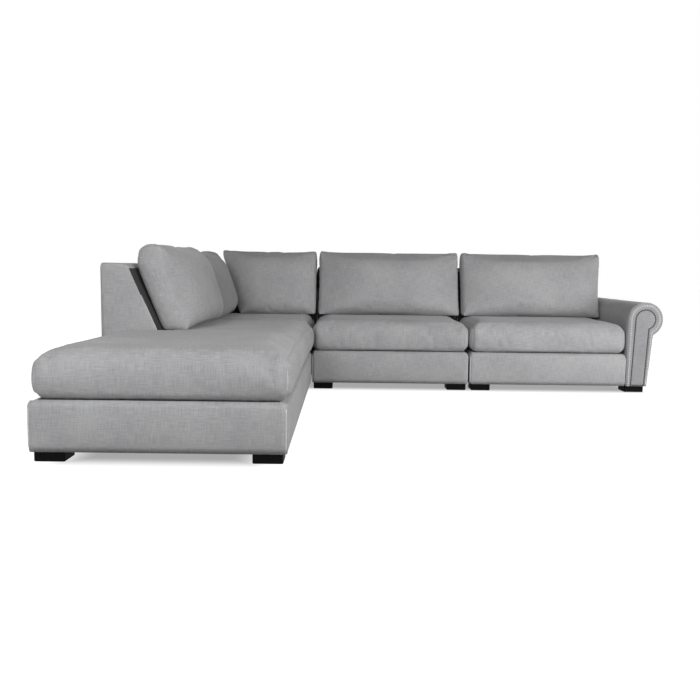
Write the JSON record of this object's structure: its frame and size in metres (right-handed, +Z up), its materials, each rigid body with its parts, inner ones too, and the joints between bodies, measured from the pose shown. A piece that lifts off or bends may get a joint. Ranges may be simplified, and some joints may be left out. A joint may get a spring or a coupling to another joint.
{
  "type": "l-shaped sectional sofa",
  "caption": "L-shaped sectional sofa with a bumper chaise, a corner, an armless middle, a rolled arm at the right end, loose cushions and low block feet.",
  "frame": {"origin": "on the floor under the middle of the whole sofa", "axes": "+X to the sitter's left along the row towards the rolled arm, +Y to the rear of the row, +Z up"},
  "size_m": [3.2055, 2.99, 0.88],
  "materials": {
    "grey_linen": "plain woven linen blend with slubs, mid grey",
    "black_wood": "black stained hardwood, satin",
    "pine": "planed softwood, unfinished",
    "webbing": "elastic upholstery webbing",
    "dust_cloth": "black non-woven dust cloth",
    "nickelled_steel": "nickel plated, slightly aged"
  },
  "bodies": {
    "corner_unit": {"corner_base_frame": "pine", "corner_seat_webbing": "webbing", "corner_base_cover": "grey_linen", "corner_dust_cover": "dust_cloth", "corner_back_frame": "pine", "corner_back_cover": "grey_linen", "corner_foot_front_left": "black_wood", "corner_foot_front_right": "black_wood", "corner_foot_rear_left": "black_wood", "corner_foot_rear_right": "black_wood", "corner_fork_to_chaise": "nickelled_steel", "corner_fork_to_center": "nickelled_steel"},
    "chaise_unit": {"chaise_base_frame": "pine", "chaise_seat_webbing": "webbing", "chaise_base_cover": "grey_linen", "chaise_dust_cover": "dust_cloth", "chaise_back_frame": "pine", "chaise_back_cover": "grey_linen", "chaise_foot_front_left": "black_wood", "chaise_foot_front_right": "black_wood", "chaise_foot_middle_left": "black_wood", "chaise_foot_middle_right": "black_wood", "chaise_foot_rear_left": "black_wood", "chaise_foot_rear_right": "black_wood", "chaise_tongue_to_corner": "nickelled_steel"},
    "center_unit": {"center_base_frame": "pine", "center_seat_webbing": "webbing", "center_base_cover": "grey_linen", "center_dust_cover": "dust_cloth", "center_back_frame": "pine", "center_back_cover": "grey_linen", "center_foot_front_left": "black_wood", "center_foot_front_right": "black_wood", "center_foot_rear_left": "black_wood", "center_foot_rear_right": "black_wood", "center_tongue_to_corner": "nickelled_steel", "center_fork_to_right": "nickelled_steel"},
    "right_unit": {"right_base_frame": "pine", "right_seat_webbing": "webbing", "right_base_cover": "grey_linen", "right_dust_cover": "dust_cloth", "right_back_frame": "pine", "right_back_cover": "grey_linen", "right_foot_front_left": "black_wood", "right_foot_front_right": "black_wood", "right_foot_rear_left": "black_wood", "right_foot_rear_right": "black_wood", "right_arm_frame": "pine", "right_arm_cover": "grey_linen", "right_arm_front_panel": "grey_linen", "right_tongue_to_center": "nickelled_steel"},
    "chaise_seat": {"chaise_seat_cushion": "grey_linen"},
    "corner_seat": {"corner_seat_cushion": "grey_linen"},
    "center_seat": {"center_seat_cushion": "grey_linen"},
    "right_seat": {"right_seat_cushion": "grey_linen"},
    "chaise_back": {"chaise_back_cushion": "grey_linen"},
    "corner_left_back": {"corner_left_back_cushion": "grey_linen"},
    "corner_rear_back": {"corner_rear_back_cushion": "grey_linen"},
    "center_back": {"center_back_cushion": "grey_linen"},
    "right_back": {"right_back_cushion": "grey_linen"}
  },
  "joints": [
    {"name": "chaise_unhook", "type": "slide", "parent": "corner_unit", "child": "chaise_unit", "axis": [0, 0, 1], "range_m": [0, 0.05]},
    {"name": "center_unhook", "type": "slide", "parent": "corner_unit", "child": "center_unit", "axis": [0, 0, 1], "range_m": [0, 0.05]},
    {"name": "right_unhook", "type": "slide", "parent": "center_unit", "child": "right_unit", "axis": [0, 0, 1], "range_m": [0, 0.05]},
    {"name": "chaise_seat_lift", "type": "slide", "parent": "chaise_unit", "child": "chaise_seat", "axis": [0, 0, 1], "range_m": [0, 0.35]},
    {"name": "corner_seat_lift", "type": "slide", "parent": "corner_unit", "child": "corner_seat", "axis": [0, 0, 1], "range_m": [0, 0.35]},
    {"name": "center_seat_lift", "type": "slide", "parent": "center_unit", "child": "center_seat", "axis": [0, 0, 1], "range_m": [0, 0.35]},
    {"name": "right_seat_lift", "type": "slide", "parent": "right_unit", "child": "right_seat", "axis": [0, 0, 1], "range_m": [0, 0.35]},
    {"name": "chaise_back_lift", "type": "slide", "parent": "chaise_seat", "child": "chaise_back", "axis": [-0.4087, 0, 0.9127], "range_m": [0, 0.4]},
    {"name": "corner_left_back_lift", "type": "slide", "parent": "corner_seat", "child": "corner_left_back", "axis": [-0.4087, 0, 0.9127], "range_m": [0, 0.4]},
    {"name": "corner_rear_back_lift", "type": "slide", "parent": "corner_seat", "child": "corner_rear_back", "axis": [0, 0.4087, 0.9127], "range_m": [0, 0.4]},
    {"name": "center_back_lift", "type": "slide", "parent": "center_seat", "child": "center_back", "axis": [0, 0.4087, 0.9127], "range_m": [0, 0.4]},
    {"name": "right_back_lift", "type": "slide", "parent": "right_seat", "child": "right_back", "axis": [0, 0.4087, 0.9127], "range_m": [0, 0.4]}
  ]
}
